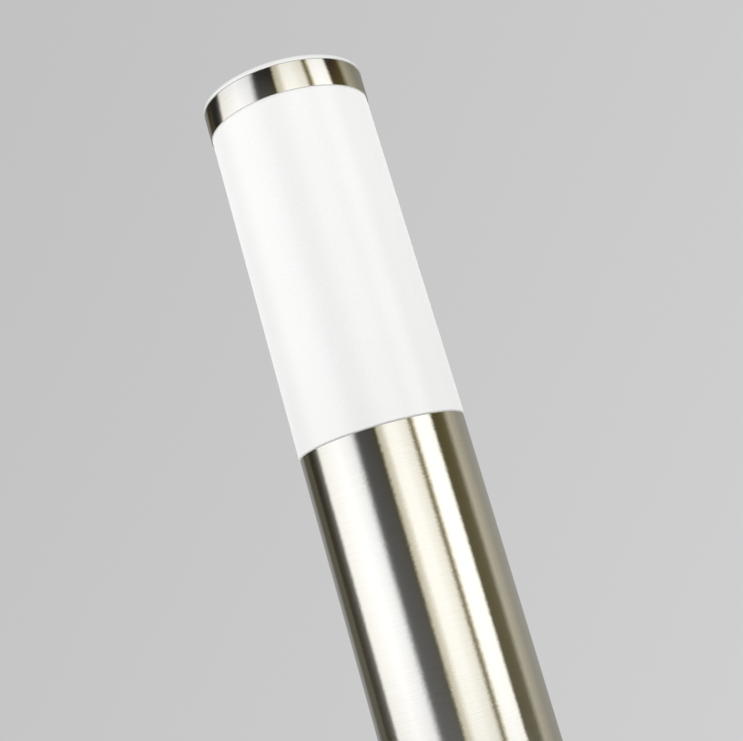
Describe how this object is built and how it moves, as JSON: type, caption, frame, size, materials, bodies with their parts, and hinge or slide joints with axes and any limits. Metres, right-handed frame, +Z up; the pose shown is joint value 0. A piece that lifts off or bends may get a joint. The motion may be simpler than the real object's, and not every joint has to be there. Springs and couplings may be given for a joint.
{
  "type": "outdoor pillar light",
  "caption": "Round brushed stainless pillar light on a bolt-down foot, with a pull-off opal head, trim band and cap over a screw-in lamp.",
  "frame": {"origin": "centre of the underside of the rubber pad, where the light stands on the ground", "axes": "+Z up the post; -Y is the front, the side that the terminal block faces; +X to the right seen from the front"},
  "size_m": [0.127, 0.127, 0.45],
  "materials": {
    "brushed_stainless": "stainless tube with fine lines brushed round it, satin to bright",
    "brushed_stainless_band": "thin stainless band, brushed round, brighter than the post",
    "stainless_foot": "stainless plate, brushed",
    "stainless_screw": "turned stainless",
    "opal_diffuser": "opal white plastic, satin gloss, lets light through",
    "white_cap": "white moulded plastic, satin gloss",
    "white_moulding": "white moulded plastic",
    "grey_moulding": "pale grey moulded plastic",
    "epdm_rubber": "black EPDM, matt",
    "black_seal": "black silicone O-rings",
    "white_seal": "thin white silicone seal",
    "zinc_steel": "zinc-plated pressed steel",
    "zinc_screw": "zinc-plated screw",
    "terminal_nylon": "natural white polyamide",
    "contact_brass": "plain brass",
    "spring_bronze": "phosphor bronze strip",
    "tinned_copper": "tinned copper",
    "brown_insulation": "brown silicone insulation",
    "blue_insulation": "blue silicone insulation",
    "green_yellow_insulation": "green and yellow silicone insulation",
    "holder_ceramic": "unglazed white porcelain",
    "shell_nickel": "nickel-plated brass shell",
    "lamp_nickel": "nickel-plated aluminium screw cap",
    "solder_tin": "soldered contact",
    "black_glass": "black vitrite insulator",
    "lamp_plastic": "white plastic lamp body",
    "lamp_opal": "frosted plastic globe",
    "board_white": "white solder mask on aluminium",
    "led_phosphor": "yellow phosphor",
    "board_green": "green circuit board",
    "driver_black": "capacitor sleeve and coil tape"
  },
  "bodies": {
    "post": {"base_pad": "epdm_rubber", "base_plate": "stainless_foot", "locating_ring": "stainless_foot", "side_screws": "stainless_screw", "cable_grommet": "epdm_rubber", "terminal_bracket": "zinc_steel", "bracket_screws": "zinc_screw", "terminal_block": "terminal_nylon", "terminal_tubes": "contact_brass", "terminal_screws": "zinc_screw", "block_screws": "zinc_screw", "earth_lugs": "tinned_copper", "earth_screws": "zinc_screw", "earth_nut": "zinc_screw", "live_wire": "brown_insulation", "neutral_wire": "blue_insulation", "earth_wire_lower": "green_yellow_insulation", "earth_wire_upper": "green_yellow_insulation", "post_tube": "brushed_stainless", "seat_collar": "grey_moulding", "holder_plate": "zinc_steel", "plate_screws": "zinc_screw", "holder_body": "holder_ceramic", "holder_shell": "shell_nickel", "holder_terminals": "contact_brass", "holder_terminal_screws": "zinc_screw", "contact_foot": "spring_bronze", "contact_rivets": "contact_brass", "holder_screws": "zinc_screw", "holder_nuts": "zinc_screw"},
    "head": {"diffuser": "opal_diffuser", "foot_ring": "white_moulding", "head_orings": "black_seal", "joint_seal": "white_seal", "trim_band": "brushed_stainless_band", "end_cap": "white_cap"},
    "bulb_tip": {"lamp_contact": "solder_tin"},
    "bulb": {"lamp_insulator": "black_glass", "lamp_cap": "lamp_nickel", "lamp_housing": "lamp_plastic", "lamp_globe": "lamp_opal", "led_board": "board_white", "led_chips": "led_phosphor", "driver_board": "board_green", "driver_parts": "driver_black"},
    "contact_tongue": {"centre_contact": "spring_bronze"}
  },
  "joints": [
    {"name": "head_lift", "type": "slide", "parent": "post", "child": "head", "axis": [0, 0, 1], "range_m": [0, 0.14]},
    {"name": "lamp_rise", "type": "slide", "parent": "post", "child": "bulb_tip", "axis": [0, 0, 1], "range_m": [0, 0.02]},
    {"name": "lamp_unscrew", "type": "hinge", "parent": "bulb_tip", "child": "bulb", "pos_m": [0, 0, 0.266], "axis": [0, 0, 1], "range_deg": [0, 1980]},
    {"name": "contact_press", "type": "hinge", "parent": "post", "child": "contact_tongue", "pos_m": [-0.0076, 0, 0.2636], "axis": [0, 1, 0], "range_deg": [0, 10], "stiffness_Nm_per_rad": 0.4}
  ],
  "couplings": [
    {"joint": "lamp_rise", "follows": "lamp_unscrew", "m_per_rad": 0.00057757}
  ]
}
